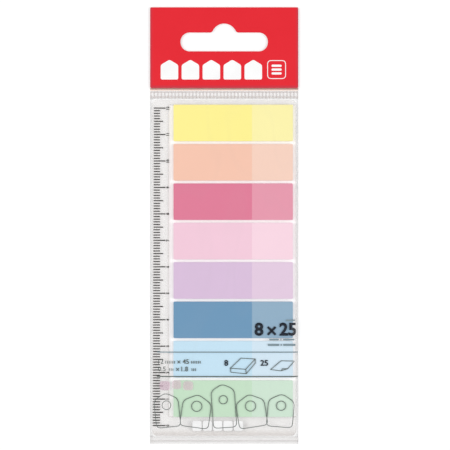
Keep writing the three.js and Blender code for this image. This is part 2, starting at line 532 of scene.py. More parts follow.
@dataclass(frozen=True, kw_only=True)
class RibbedWeldFinish(Finish):
    """Film that is pressed into ribs, with painted shade in the grooves and painted shadow lines where
    the ribs end, a cream margin, and above them a brown hem that is partly painted shadow of the header's
    edge.
    """

    pitch: float
    bottom: float
    top: float
    hem: float
    veil: float = 0.12
    rib_veil: float = 0.37
    end_veil: float = 0.26
    margin_veil: float = 0.13
    hem_veil: float = 0.6
    rim_veil: float = 0.3
    shade: float = 0.4
    tint: Colour = (0.54, 0.49, 0.48)
    margin_tint: Colour = (0.88, 0.55, 0.34)
    hem_tint: Colour = linear((184, 132, 118))
    rib_waver: float = 0.12
    rib_narrowness: float = 1.6
    depth_at_top: float = 0.85
    depth_gain: float = 0.2
    outer_softness: float = 0.1 * MM
    inner_softness: float = 0.15 * MM
    top_line_below: float = 0.22 * MM
    top_line_reach: float = 0.4 * MM
    foot_line_above: float = 0.5 * MM
    foot_line_reach: float = 0.6 * MM
    margin_below_hem: float = 0.25 * MM
    margin_reach: float = 0.35 * MM
    line_core: float = 0.1 * MM
    grain: float = 1200.0
    unevenness: float = 0.02
    roughness: float = 0.22
    wear: float = 0.1
    relief: float = 0.2
    relief_depth: float = 0.05 * MM

    def dress(self, coat: Coat) -> None:
        """Gives the coat its ribs with painted shade in their grooves, its painted shadow lines across
        and its hem, partly painted shadow.

        Args:
            coat: The material under way.
        """
        tree = coat.tree
        valley = self.valley(coat)
        # Painted shadow: a dark line across the pack at the top and at the foot of the ribs.
        lines = tree.total(
            self.line_across(coat, self.top - self.top_line_below, self.top_line_reach),
            self.line_across(coat, self.bottom + self.foot_line_above, self.foot_line_reach),
        )
        margin = self.line_across(coat, self.hem - self.margin_below_hem, self.margin_reach)
        # The hem under the header is partly painted shadow of the header's edge.
        hem = tree.step(coat.y, self.hem, self.outer_softness)
        # Painted shade: the grooves between the ribs are darker, more so at their foot.
        groove_shade = tree.product(tree.product(valley, self.inside(coat)), self.depth(coat))
        ribs = tree.scaled(groove_shade, self.rib_veil, tree.product(lines, self.end_veil))
        plain = tree.scaled(margin, self.margin_veil, self.veil)
        veil = tree.scaled(hem, self.hem_veil, tree.total(ribs, plain))
        coat.cover(veil, self.rim_veil, self.shade)
        coat.paint(tree.mix(hem, tree.mix(margin, self.tint, self.margin_tint), self.hem_tint))
        coat.feed("Roughness", tree.scaled(valley, self.wear, self.roughness))
        coat.raise_by(coat.mottle.outputs["Height"], self.relief, self.relief_depth)

    def valley(self, coat: Coat) -> Socket:
        """Finds the grooves between the ribs.

        Args:
            coat: The material under way.

        Returns:
            1 in the middle of a groove and 0 on a rib.
        """
        tree = coat.tree
        turn = tree.product(coat.x, 2 * math.pi / self.pitch)
        waver = tree.product(coat.mottle.outputs["Wear"], self.rib_waver)
        wave = tree.maths("COSINE", tree.total(turn, waver))
        return tree.maths("POWER", tree.scaled(wave, 0.5, 0.5), self.rib_narrowness)

    def inside(self, coat: Coat) -> Socket:
        """Finds the band that the ribs fill.

        Args:
            coat: The material under way.

        Returns:
            1 in the band and 0 over and under it.
        """
        outer, inner = self.outer_softness, self.inner_softness
        over_foot = coat.tree.ramp(coat.y, self.bottom - outer, self.bottom + inner)
        over_top = coat.tree.ramp(coat.y, self.top - inner, self.top + outer)
        return coat.tree.product(over_foot, coat.tree.rest(over_top))

    def depth(self, coat: Coat) -> Socket:
        """How strong the painted shade in the grooves is, a little more so at the ribs' foot."""
        low = coat.tree.rest(coat.tree.ramp(coat.y, self.bottom, self.top))
        return coat.tree.scaled(low, self.depth_gain, self.depth_at_top)

    def line_across(self, coat: Coat, at: float, reach: float) -> Socket:
        """A soft line across the pack: 1 at a height up it, and 0 past a reach from there."""
        return coat.tree.rest(coat.tree.ramp(coat.tree.away(coat.y, at), self.line_core, reach))


@dataclass(frozen=True, kw_only=True)
class HeaderFinish(Finish):
    """Red printed film, with painted shade along its sides, and duller over its pressed foot."""

    extent: Extent
    red: Colour
    dull: Colour = linear((180, 60, 78))
    side_dullness: float = 0.6
    side_reach: float = 1.3 * MM
    foot_dullness: float = 0.52
    foot_reach: float = 1.2 * MM
    foot_softness: float = 0.6 * MM
    grain: float = 1100.0
    unevenness: float = 0.04
    roughness: float = 0.3
    wear: float = 0.08
    crease_scale: float = 24.0
    relief: float = 0.2
    relief_depth: float = 0.3 * MM

    def dress(self, coat: Coat) -> None:
        """Gives the coat its red, its painted shade along the sides and its duller pressed foot.

        Args:
            coat: The material under way.
        """
        tree = coat.tree
        half = self.extent.right
        # Painted shade: the red darkens towards both sides.
        side = tree.ramp(tree.maths("ABSOLUTE", coat.x), half - self.side_reach, half)
        foot_top = self.extent.bottom + self.foot_reach
        foot = tree.rest(tree.ramp(coat.y, foot_top - self.foot_softness, foot_top))
        side_shade_share = tree.product(side, self.side_dullness)
        foot_share = tree.product(foot, self.foot_dullness)
        coat.paint(tree.mix(tree.maths("MAXIMUM", side_shade_share, foot_share), self.red, self.dull))
        coat.polish(self.roughness, self.wear)
        coat.feed("Specular IOR Level", SATIN_GLOSS)
        creases = coat.creases(self.crease_scale)
        coat.raise_by(creases.outputs["Height"], self.relief, self.relief_depth)


@dataclass(frozen=True, kw_only=True)
class ClearCardFinish(Finish):
    """The ruler's clear card: warm and slightly frosted, and painted whiter and less clear round the
    pads, as painted light for what comes through the pads and the card.

    The light that reaches the card through the pads and from behind it is painted as a faint glow of its
    own.
    """

    field_left: float
    field_right: float
    field_bottom: float
    field_top: float
    glow_left: float
    foot: float
    veil: float = 0.12
    field_veil: float = 0.85
    foot_veil: float = 0.3
    rim_veil: float = 0.4
    shade: float = 0.4
    glow: float = 0.19
    tint: Colour = (0.62, 0.55, 0.51)
    field_tint: Colour = (0.96, 0.94, 0.94)
    field_softness: float = 0.35 * MM
    foot_core: float = 0.4 * MM
    foot_reach: float = 3.0 * MM
    grain: float = 900.0
    unevenness: float = 0.02
    roughness: float = 0.25
    wear: float = 0.08
    relief: float = 0.1
    relief_depth: float = 0.02 * MM

    def dress(self, coat: Coat) -> None:
        """Gives the coat its clear edges and the painted light of its field round the pads.

        Args:
            coat: The material under way.
        """
        tree = coat.tree
        field = self.field(coat)
        # Painted light: the field round the pads is whiter, for light that comes through the pads and the
        # card.
        coat.paint(tree.mix(field, self.tint, self.field_tint))
        # Painted light: a faint glow from the field's own emission, though the card is no lamp.
        shine = tuple(self.glow * channel for channel in self.field_tint)
        lit = tree.product(field, tree.step(coat.x, self.glow_left, self.field_softness))
        coat.feed("Emission Color", tree.mix(lit, (0.0, 0.0, 0.0), shine))
        coat.feed("Emission Strength", 1.0)
        above_foot = tree.ramp(coat.y, self.foot + self.foot_core, self.foot + self.foot_reach)
        foot = tree.product(tree.rest(above_foot), self.foot_veil - self.veil)
        plain = tree.total(foot, self.veil)
        # Painted light: the field is also less clear, so less of the shaded floor beneath it shows.
        veil = tree.scaled(field, self.field_veil - self.veil, plain)
        coat.cover(veil, self.rim_veil, self.shade)
        coat.polish(self.roughness, self.wear)
        coat.raise_by(coat.mottle.outputs["Height"], self.relief, self.relief_depth)

    def field(self, coat: Coat) -> Socket:
        """Finds the field round the pads that holds the painted light.

        Args:
            coat: The material under way.

        Returns:
            1 in the painted light field and 0 outside it.
        """
        tree, soft = coat.tree, self.field_softness
        past_left = tree.step(coat.x, self.field_left, soft)
        past_right = tree.step(coat.x, self.field_right, soft)
        past_bottom = tree.step(coat.y, self.field_bottom, soft)
        past_top = tree.step(coat.y, self.field_top, soft)
        across = tree.product(past_left, tree.rest(past_right))
        return tree.product(across, tree.product(past_bottom, tree.rest(past_top)))


@dataclass(frozen=True, kw_only=True)
class InkFinish(Finish):
    """Printing ink, with the slight unevenness of a printed edge."""

    colour: Colour
    share: float = 1.0
    grain: float = 2600.0
    unevenness: float = 0.12
    roughness: float = 0.4
    wear: float = 0.1

    def dress(self, coat: Coat) -> None:
        """Gives the coat its colour, and lets the film show through thin ink.

        Args:
            coat: The material under way.
        """
        coat.paint(self.colour)
        coat.polish(self.roughness, self.wear)
        coat.feed("Specular IOR Level", SATIN_GLOSS)
        if self.share < 1.0:
            coat.feed("Alpha", coat.tree.product(coat.mottle.outputs["Tone"], self.share))


# Making pieces


def as_piece(bm: Mesh, name: str, material: Material) -> bpy.types.Object:
    """Turns a bmesh into a piece of the pack.

    Args:
        bm: The finished shape, placed in the frame. It is freed.
        name: The piece's name.
        material: Its only material.

    Returns:
        The new object, which rides on the pack's body.
    """
    mesh = bpy.data.meshes.new(name)
    bm.to_mesh(mesh)
    bm.free()
    mesh.materials.append(material)
    piece = bpy.data.objects.new(name, mesh)
    bpy.context.scene.collection.objects.link(piece)
    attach(piece, BODY)
    log.info("%s: %d faces", name, len(mesh.polygons))
    return piece


def smoothed(bm: Mesh) -> None:
    """Shades every face of a bmesh smoothly."""
    for face in bm.faces:
        face.smooth = True


def moved(bm: Mesh, across: float, along: float, up: float) -> Mesh:
    """Moves a whole bmesh and gives it back."""
    bmesh.ops.translate(bm, verts=bm.verts[:], vec=(across, along, up))
    return bm


def new_vertices(made: Iterable[object]) -> list[bmesh.types.BMVert]:
    """The vertices among what an operator made."""
    return [item for item in made if isinstance(item, bmesh.types.BMVert)]


def settle_faces(bm: Mesh) -> None:
    """Turns the faces of an extruded shape outwards, and orders its parts the same way in each run.

    Args:
        bm: The closed shape. No two of its edges or faces have the same middle.
    """
    bmesh.ops.recalc_face_normals(bm, faces=bm.faces[:])
    edges = sorted(bm.edges, key=lambda edge: (edge.verts[0].co + edge.verts[1].co)[:])
    faces = sorted(bm.faces, key=lambda face: face.calc_center_median()[:])
    for parts, ordered in ((bm.edges, edges), (bm.faces, faces)):
        ranks = {part: rank for rank, part in enumerate(ordered)}
        parts.sort(key=ranks.get)


def copy_of_node(node: str, tolerance: float = math.radians(2)) -> Mesh:
    """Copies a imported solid's mesh, merged and with its flat faces made whole.

    Args:
        node: The solid's name.
        tolerance: The angle under which two faces count as one.

    Returns:
        The copy.
    """
    bm = bmesh.new()
    bm.from_mesh(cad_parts[node].data)
    bmesh.ops.remove_doubles(bm, verts=bm.verts[:], dist=JOIN_DISTANCE)
    bmesh.ops.dissolve_limit(bm, angle_limit=tolerance, verts=bm.verts[:], edges=bm.edges[:])
    return bm


def round_rim(bm: Mesh, radius: float, least: float = math.radians(60)) -> None:
    """Rounds the sharp edges of a bmesh.

    Args:
        bm: The shape.
        radius: How far in from an edge the rounding starts.
        least: The angle past which an edge is sharp.
    """
    shared = [edge for edge in bm.edges if len(edge.link_faces) == 2]
    rims = [edge for edge in shared if edge.calc_face_angle(0.0) > least]
    bmesh.ops.bevel(
        bm, geom=rims, offset=radius, segments=2, profile=0.5,
        affect="EDGES", material=-1, clamp_overlap=True,
    )


def mesh_of_curve(curve: bpy.types.Curve) -> Mesh:
    """Makes a curve or text a mesh, and removes the curve.

    Args:
        curve: The curve or text. It is removed.

    Returns:
        Its mesh, merged.
    """
    holder = bpy.data.objects.new(curve.name, curve)
    bpy.context.scene.collection.objects.link(holder)
    bpy.context.view_layer.update()
    graph = bpy.context.evaluated_depsgraph_get()
    mesh = bpy.data.meshes.new_from_object(holder.evaluated_get(graph))
    bm = bmesh.new()
    bm.from_mesh(mesh)
    bpy.data.objects.remove(holder)
    bpy.data.meshes.remove(mesh)
    bpy.data.curves.remove(curve)
    bmesh.ops.remove_doubles(bm, verts=bm.verts[:], dist=FINE_JOIN_DISTANCE)
    return bm


def joined(parts: Iterable[Mesh]) -> Mesh:
    """Joins some shapes into one.

    Args:
        parts: The shapes. They are freed.

    Returns:
        The whole.
    """
    whole = bmesh.new()
    for part in parts:
        mesh = bpy.data.meshes.new("part")
        part.to_mesh(mesh)
        part.free()
        whole.from_mesh(mesh)
        bpy.data.meshes.remove(mesh)
    return whole


# Film


@dataclass(frozen=True)
class Drape:
    """The front film of the bag: how high it lies over any point of the pack."""

    pocket: Extent
    pads: Extent
    shoulder: float
    crown: float
    clearance: float = 0.3 * MM
    pull: float = 0.07 * MM
    ease: float = 0.25
    broad_pull: Point = (9 * MM, 17 * MM)
    fine_pull: Point = (3.5 * MM, 6 * MM)
    broad_level: float = 0.7
    fine_level: float = 4.2

    def tent(self, at: float, low: float, rise: float, fall: float, high: float) -> float:
        """Finds the film's height along one axis: up from an edge, level over the pads and down.

        Args:
            at: The place along the axis.
            low: The pocket's edge at that axis's low end.
            rise: Where the pads start.
            fall: Where the pads end.
            high: The pocket's edge at the high end.

        Returns:
            The height.
        """
        if at < rise:
            share = (at - low) / (rise - low)
        elif at > fall:
            share = (high - at) / (high - fall)
        else:
            share = 1.0
        share = min(max(share, 0.0), 1.0)
        eased = share - math.sin(2 * math.pi * share) / (2 * math.pi) * self.ease
        return self.shoulder + (self.crown - self.shoulder) * eased

    def pulls(self, x: float, y: float, size: Point, level: float) -> float:
        """The unevenness of the film at a point, from about -1 to 1."""
        return noise.noise(Vector((x / size[0], y / size[1], level)))

    def height(self, x: float, y: float) -> float:
        """Finds how high the film's outer face lies.

        Args:
            x: The place across the pack.
            y: The place up the pack.

        Returns:
            The height over that point.
        """
        pocket, pads, gap = self.pocket, self.pads, self.clearance
        across = self.tent(x, pocket.left, pads.left - gap, pads.right + gap, pocket.right)
        along = self.tent(y, pocket.bottom, pads.bottom - gap, pads.top + gap, pocket.top)
        broad = self.pulls(x, y, self.broad_pull, self.broad_level)
        fine = self.pulls(x, y, self.fine_pull, self.fine_level)
        return min(across, along) - self.pull * (0.5 + 0.5 * broad + 0.25 * fine)


@dataclass(frozen=True)
class FilmBag:
    """The clear bag: its pocket, its ribbed weld, its bottom seal and its tail."""

    extent: Extent
    drape: Drape
    header: Extent
    weld_height: float = 2.6 * MM
    weld_thickness: float = 0.4 * MM
    weld_rows: int = 14
    lap: float = 0.15 * MM
    hem_height: float = 0.6 * MM
    rib_pitch: float = 1.32 * MM
    rib_rise: float = 0.2 * MM
    rib_fade: float = 0.3 * MM
    steps_per_rib: int = 8
    bead_above_edge: float = 0.75 * MM
    bead_reach: float = 0.3 * MM
    bead_rise: float = 0.1 * MM
    ripple: float = 0.03 * MM
    ripple_size: Point = (5 * MM, 2 * MM)
    ripple_level: float = 9.0
    seal_columns: int = 60
    seal_rows: int = 26
    tail_thickness: float = 0.18 * MM
    tail_rise_length: float = 3.0 * MM
    tail_steps: int = 5
    bond: float = 0.02 * MM
    fold_radius: float = 0.6 * MM
    fold_height: float = 0.45 * MM
    columns: int = 84
    rows: int = 150

    def build(self, shop: Workshop) -> None:
        """Builds every piece of the bag.

        Args:
            shop: The shared node groups.
        """
        pocket = self.drape.pocket
        film = ClearFilmFinish(name="clear_film", edge=self.extent.right, foot=pocket.bottom)
        # The weld paints shade in its grooves, shadow lines where its ribs end, and shadow under the
        # header's edge.
        weld = RibbedWeldFinish(
            name="ribbed_weld", pitch=self.rib_pitch, bottom=pocket.top,
            top=pocket.top + self.weld_height, hem=self.header.bottom - self.hem_height,
        )
        seal = ClearFilmFinish(
            name="sealed_film", edge=self.extent.right, foot=self.extent.bottom, foot_veil=0.0,
            bead=self.bead_middle, bead_veil=0.2, veil=0.22, left_fold_veil=0.1,
            right_fold_veil=0.1, tint=(0.6, 0.57, 0.56),
        )
        clear = film.material(shop)
        self.build_pocket(clear)
        self.build_weld(weld.material(shop))
        self.build_seal(seal.material(shop))
        self.build_tail(clear)

    @property
    def bead_middle(self) -> float:
        """How far up the bead lies, in the frame."""
        return self.extent.bottom + self.bead_above_edge + self.bead_reach

    def roundness(self, distance: float) -> float:
        """How much of its height the film has reached at a distance in from a fold."""
        share = min(max(distance / self.fold_radius, 0.0), 1.0)
        return math.sqrt(1 - (1 - share) ** 2)

    def from_folds(self, x: float, y: float) -> Point:
        """How far a point is from the nearest fold, across and along."""
        pocket = self.drape.pocket
        return min(x - pocket.left, pocket.right - x), min(y - pocket.bottom, pocket.top - y)

    def fold_share(self, x: float, y: float) -> float:
        """The roundness at a point, from the nearest fold each way."""
        across, along = self.from_folds(x, y)
        return self.roundness(across) * self.roundness(along)

    def pocket_sheet(self, bm: Mesh) -> list[bmesh.types.BMVert]:
        """Adds a level sheet over the pocket, with its rows and columns closer at the folds.

        Args:
            bm: The bmesh that the sheet is added to.

        Returns:
            The sheet's vertices.
        """
        pocket = self.drape.pocket
        middle = pocket.middle
        sheet = bmesh.ops.create_grid(bm, x_segments=self.columns, y_segments=self.rows, size=1.0)
        for vert in sheet["verts"]:
            vert.co.x = middle[0] + pocket.width / 2 * math.sin(vert.co.x * math.pi / 2)
            vert.co.y = middle[1] + pocket.length / 2 * math.sin(vert.co.y * math.pi / 2)
        return sheet["verts"]

    def build_pocket(self, film: Material) -> None:
        """Builds the pocket from a front and a back sheet that meet at the folds.

        Args:
            film: The pocket's finish.
        """
        bm = bmesh.new()
        for vert in self.pocket_sheet(bm):
            share = self.fold_share(vert.co.x, vert.co.y)
            top = self.drape.height(vert.co.x, vert.co.y)
            vert.co.z = self.fold_height + (top - self.fold_height) * share
        front = set(bm.faces)
        for vert in self.pocket_sheet(bm):
            share = self.fold_share(vert.co.x, vert.co.y)
            vert.co.z = self.fold_height * (1 - share)
        bmesh.ops.reverse_faces(bm, faces=[face for face in bm.faces if face not in front])
        bmesh.ops.remove_doubles(bm, verts=bm.verts[:], dist=JOIN_DISTANCE)
        self.split_corners(bm)
        smoothed(bm)
        piece = as_piece(bm, "bag_pocket", film)
        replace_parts(piece, "film_bag")

    def split_corners(self, bm: Mesh) -> None:
        """Pokes the faces at the pocket's corners, so that no cut there joins front and back.

        Args:
            bm: The pocket.
        """
        corners = [
            vert for vert in bm.verts
            if max(self.from_folds(vert.co.x, vert.co.y)) < JOIN_DISTANCE
        ]
        faces = dict.fromkeys(face for vert in corners for face in vert.link_faces)
        bmesh.ops.poke(bm, faces=list(faces))

    def rib(self, x: float, y: float) -> float:
        """Finds how far a rib stands proud.

        Args:
            x: The place across the weld.
            y: The place up the pack.

        Returns:
            The height over the weld's plain face.
        """
        pocket = self.drape.pocket
        inset = min(y - pocket.top, pocket.top + self.weld_height - y)
        fade = min(max(inset / self.rib_fade, 0.0), 1.0)
        ribs = math.floor(self.extent.width / self.rib_pitch)
        share = (x + ribs * self.rib_pitch / 2) / self.rib_pitch
        return self.rib_rise / 2 * (1 - math.cos(2 * math.pi * share)) * fade

    def strip(self, bottom: float, top: float, columns: int, rows: int) -> Mesh:
        """Makes a level strip across the whole pack.

        Args:
            bottom: Where it starts up the pack.
            top: Where it ends.
            columns: Its columns of faces.
            rows: Its rows of faces.

        Returns:
            The strip.
        """
        bm = bmesh.new()
        bmesh.ops.create_grid(bm, x_segments=columns, y_segments=rows, size=0.5)
        for vert in bm.verts:
            vert.co.x *= self.extent.width
            vert.co.y = bottom + (vert.co.y + 0.5) * (top - bottom)
        return bm

    def build_weld(self, weld: Material) -> None:
        """Builds the ribbed band where the front and back film are pressed together.

        Args:
            weld: The band's finish.
        """
        columns = math.floor(self.extent.width / self.rib_pitch) * self.steps_per_rib
        bottom = self.drape.pocket.top - self.lap
        bm = self.strip(bottom, self.header.bottom, columns, self.weld_rows)
        for vert in bm.verts:
            vert.co.z = self.weld_thickness + self.rib(vert.co.x, vert.co.y)
        smoothed(bm)
        self.thicken_down(bm)
        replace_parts(as_piece(bm, "bag_weld", weld), "film_bag")

    def thicken_down(self, bm: Mesh) -> None:
        """Extrudes an open sheet straight down to the plane that the pack lies on.

        Args:
            bm: The sheet, which becomes closed.
        """
        made = bmesh.ops.extrude_face_region(bm, geom=bm.faces[:])["geom"]
        for vert in new_vertices(made):
            vert.co.z = self.extent.back
        settle_faces(bm)

    def build_seal(self, film: Material) -> None:
        """Builds the flat seal under the pocket, with the fine bead across it.

        Args:
            film: The seal's finish.
        """
        top = self.drape.pocket.bottom + self.lap
        bm = self.strip(self.extent.bottom, top, self.seal_columns, self.seal_rows)
        for vert in bm.verts:
            reach = min(abs(vert.co.y - self.bead_middle) / self.bead_reach, 1.0)
            bead = self.bead_rise * max(0.0, math.cos(reach * math.pi / 2))
            across, along = vert.co.x / self.ripple_size[0], vert.co.y / self.ripple_size[1]
            ripple = self.ripple * noise.noise(Vector((across, along, self.ripple_level)))
            vert.co.z = self.weld_thickness + bead + ripple
        smoothed(bm)
        self.thicken_down(bm)
        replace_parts(as_piece(bm, "bag_seal", film), "film_bag")

    def build_tail(self, film: Material) -> None:
        """Builds the film behind the header: it rises from the weld and is bonded to the header's back.

        Args:
            film: The tail's finish.
        """
        bm = copy_of_node("header")
        foot, length = self.header.bottom, self.tail_rise_length
        for step in range(1, self.tail_steps + 1):
            level = (0.0, foot + length * step / self.tail_steps, 0.0)
            cut = bm.verts[:] + bm.edges[:] + bm.faces[:]
            bmesh.ops.bisect_plane(bm, geom=cut, plane_co=level, plane_no=(0.0, 1.0, 0.0))
        flatten = self.tail_thickness / (self.header.front - self.header.back)
        rise = self.header.back - self.bond - self.tail_thickness
        for vert in bm.verts:
            share = min((vert.co.y - foot) / length, 1.0)
            lift = rise * (1 - math.cos(math.pi * share)) / 2
            vert.co.z = self.extent.back + lift + (vert.co.z - self.header.back) * flatten
        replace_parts(as_piece(bm, "bag_tail", film), "film_bag")


# Header


@dataclass(frozen=True)
class Header:
    """The red header: its slotted film and the plain white marks printed on it."""

    extent: Extent
    red: Colour
    rim: float = 0.09 * MM
    mark_left: float = -24.0 * MM
    mark_right: float = 14.3 * MM
    mark_bottom: float = 55.2 * MM
    mark_height: float = 7.5 * MM
    mark_point: float = 2.0 * MM
    mark_corner: float = 0.7 * MM
    mark_count: int = 5
    mark_gap: float = 1.3 * MM
    badge_at: Point = (19.8 * MM, 58.95 * MM)
    badge_half: float = 3.4 * MM
    badge_corner: float = 1.4 * MM
    badge_line: float = 0.28 * MM
    bar_pitch: float = 1.45 * MM
    bar_half_width: float = 1.9 * MM
    bar_half_height: float = 0.42 * MM
    bar_corner: float = 0.4 * MM
    ink: float = 0.03 * MM

    def build(self, shop: Workshop) -> None:
        """Builds the header and its marks.

        Args:
            shop: The shared node groups.
        """
        finish = HeaderFinish(name="red_film", extent=self.extent, red=self.red)
        bm = copy_of_node("header")
        round_rim(bm, self.rim)
        piece = as_piece(bm, "header_film", finish.material(shop))
        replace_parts(piece, "header")
        white = InkFinish(name="white_ink", colour=(0.98, 0.98, 0.98)).material(shop)
        as_piece(joined(self.marks()), "header_marks", white)

    def flag(self, left: float, right: float) -> Outline:
        """Outlines one index flag with a pointed end at its top.

        Args:
            left: The flag's left side.
            right: The flag's right side.

        Returns:
            Its corners.
        """
        bottom, top = self.mark_bottom, self.mark_bottom + self.mark_height
        middle, shoulder = (left + right) / 2, top - self.mark_point
        return [(left, bottom), (right, bottom), (right, shoulder), (middle, top), (left, shoulder)]

    def marks(self) -> Iterator[Mesh]:
        """Shapes a row of plain index flags, and a framed badge of three bars beside it.

        Returns:
            Each mark as a slab of ink on the header.
        """
        front = self.extent.front
        pitch = (self.mark_right - self.mark_left + self.mark_gap) / self.mark_count
        for index in range(self.mark_count):
            left = self.mark_left + index * pitch
            flag = rounded(self.flag(left, left + pitch - self.mark_gap), self.mark_corner)
            yield slab([flag], front, self.ink)
        x, y = self.badge_at
        frame_line = rounded_box(x, y, self.badge_half, self.badge_half, self.badge_corner)
        yield slab(line_sides(frame_line, self.badge_line), front, self.ink)
        for row in (-1, 0, 1):
            at = y + row * self.bar_pitch
            bar = rounded_box(x, at, self.bar_half_width, self.bar_half_height, self.bar_corner)
            yield slab([bar], front, self.ink)


# Outlines and ink


def arc(centre: Point, radius: float, start: float, end: float, steps: int) -> Outline:
    """Finds points along an arc.

    Args:
        centre: The arc's centre.
        radius: Its radius.
        start: The angle of its first point.
        end: The angle of its last point.
        steps: The pieces between them.

    Returns:
        The points, both ends among them.
    """
    angles = [start + (end - start) * step / steps for step in range(steps + 1)]
    return [(centre[0] + radius * math.cos(a), centre[1] + radius * math.sin(a)) for a in angles]


def rounded(corners: Outline, radius: float, steps: int = 5) -> Outline:
    """Rounds each corner of a closed outline with a smooth curve.

    Args:
        corners: The outline's corners in order.
        radius: How far along each side a curve starts, from its corner.
        steps: The pieces in each curve.

    Returns:
        The points of the rounded outline.
    """
    most_of_side = 0.45
    points: list[Point] = []
    for index, corner in enumerate(corners):
        here = Vector(corner)
        before = Vector(corners[index - 1]) - here
        after = Vector(corners[(index + 1) % len(corners)]) - here
        start = here + before.normalized() * min(radius, before.length * most_of_side)
        end = here + after.normalized() * min(radius, after.length * most_of_side)
        for step in range(steps + 1):
            t = step / steps
            at = start * (1 - t) ** 2 + here * (2 * t * (1 - t)) + end * t**2
            points.append((at.x, at.y))
    return points


def rounded_box(x: float, y: float, half_width: float, half_height: float, radius: float) -> Outline:
    """Outlines a rounded box.

    Args:
        x: Its middle across.
        y: Its middle along.
        half_width: Half of its width.
        half_height: Half of its height.
        radius: How far along each side its corners are rounded.

    Returns:
        The points of its outline.
    """
    left, right, low, high = x - half_width, x + half_width, y - half_height, y + half_height
    return rounded([(left, low), (right, low), (right, high), (left, high)], radius)


def turned(points: Outline, about: Point, degrees: float) -> Outline:
    """Turns an outline.

    Args:
        points: The outline.
        about: The point that it turns about.
        degrees: How far it turns.

    Returns:
        The turned outline.
    """
    turn = Matrix.Rotation(math.radians(degrees), 2)
    middle = Vector(about)
    placed = [middle + turn @ (Vector(point) - middle) for point in points]
    return [(point.x, point.y) for point in placed]


def filled(outlines: Iterable[Outline], thickness: float) -> Mesh:
    """Fills some closed outlines, where an inner one is a hole.

    Args:
        outlines: The outlines.
        thickness: The thickness of the shape.

    Returns:
        The shape, centred on nought in Z.
    """
    curve = bpy.data.curves.new("ink", "CURVE")
    curve.dimensions = "2D"
    curve.fill_mode = "BOTH"
    curve.extrude = thickness / 2
    for outline in outlines:
        spline = curve.splines.new("POLY")
        spline.points.add(len(outline) - 1)
        for point, (x, y) in zip(spline.points, outline, strict=True):
            point.co = (x, y, 0.0, 1.0)
        spline.use_cyclic_u = True
    return mesh_of_curve(curve)


def slab(outlines: Iterable[Outline], base: float, thickness: float) -> Mesh:
    """A filled shape of ink on a level base."""
    return moved(filled(outlines, thickness), 0.0, 0.0, base + thickness / 2)


def line_sides(outline: Outline, width: float) -> list[Outline]:
    """Finds the outer and inner side of a line that follows a closed outline.

    Args:
        outline: The outline.
        width: The line's width.

    Returns:
        Both sides, as outlines.
    """
    least_step = 1e-9
    least_cosine = 0.5
    sides: list[list[Point]] = [[], []]
    for index, at in enumerate(outline):
        before = Vector(at) - Vector(outline[index - 1])
        after = Vector(outline[(index + 1) % len(outline)]) - Vector(at)
        if before.length < least_step or after.length < least_step:
            continue
        first = Vector((before.y, -before.x)).normalized()
        second = Vector((after.y, -after.x)).normalized()
        normal = (first + second).normalized()
        reach = width / 2 / max(normal.dot(first), least_cosine)
        for side, sign in zip(sides, (1, -1), strict=True):
            point = Vector(at) + normal * (reach * sign)
            side.append((point.x, point.y))
    return sides


def stroke(start: Point, end: Point, width: float) -> Outline:
    """Outlines a straight line.

    Args:
        start: One end of it.
        end: The other end.
        width: Its width.

    Returns:
        Its four corners.
    """
    along = (Vector(end) - Vector(start)).normalized()
    side = Vector((-along.y, along.x)) * (width / 2)
    left = [(at[0] + side.x, at[1] + side.y) for at in (start, end)]
    right = [(at[0] - side.x, at[1] - side.y) for at in (end, start)]
    return left + right


def thickened(bm: Mesh, thickness: float) -> Mesh:
    """Gives a flat filled shape a thickness, centred on nought.

    Args:
        bm: The flat shape, at a height of nought.
        thickness: How thick it becomes.

    Returns:
        The same bmesh, closed.
    """
    moved(bm, 0.0, 0.0, thickness / 2)
    made = bmesh.ops.extrude_face_region(bm, geom=bm.faces[:])["geom"]
    bmesh.ops.translate(bm, verts=new_vertices(made), vec=(0.0, 0.0, -thickness))
    settle_faces(bm)
    return bm


def numerals(
    text: str, size: float, at: Point, weight: float, turn: float = 0.0, steps: int = 3
) -> Mesh:
    """Makes plain numerals a thin solid.

    Args:
        text: The numerals.
        size: The text's size in metres. A numeral is about 0.7 of it high.
        at: The middle of the numerals.
        weight: How much bolder than plain they are, in metres.
        turn: Degrees to turn them by.
        steps: The pieces in each of their curves.

    Returns:
        The solid, centred on nought in Z.
    """
    curve = bpy.data.curves.new("numerals", "FONT")
    curve.body = text
    curve.size = size
    curve.resolution_u = steps
    curve.offset = weight
    bm = thickened(mesh_of_curve(curve), INK_THICKNESS)
    low = Vector([min(vert.co[axis] for vert in bm.verts) for axis in range(2)])
    high = Vector([max(vert.co[axis] for vert in bm.verts) for axis in range(2)])
    middle = (low + high) / 2
    place = Matrix.Translation((at[0], at[1], 0.0)) @ Matrix.Rotation(math.radians(turn), 4, "Z")
    centre = Matrix.Translation((-middle.x, -middle.y, 0.0))
    bmesh.ops.transform(bm, matrix=place @ centre, verts=bm.verts[:])
    return bm


# Ruler card


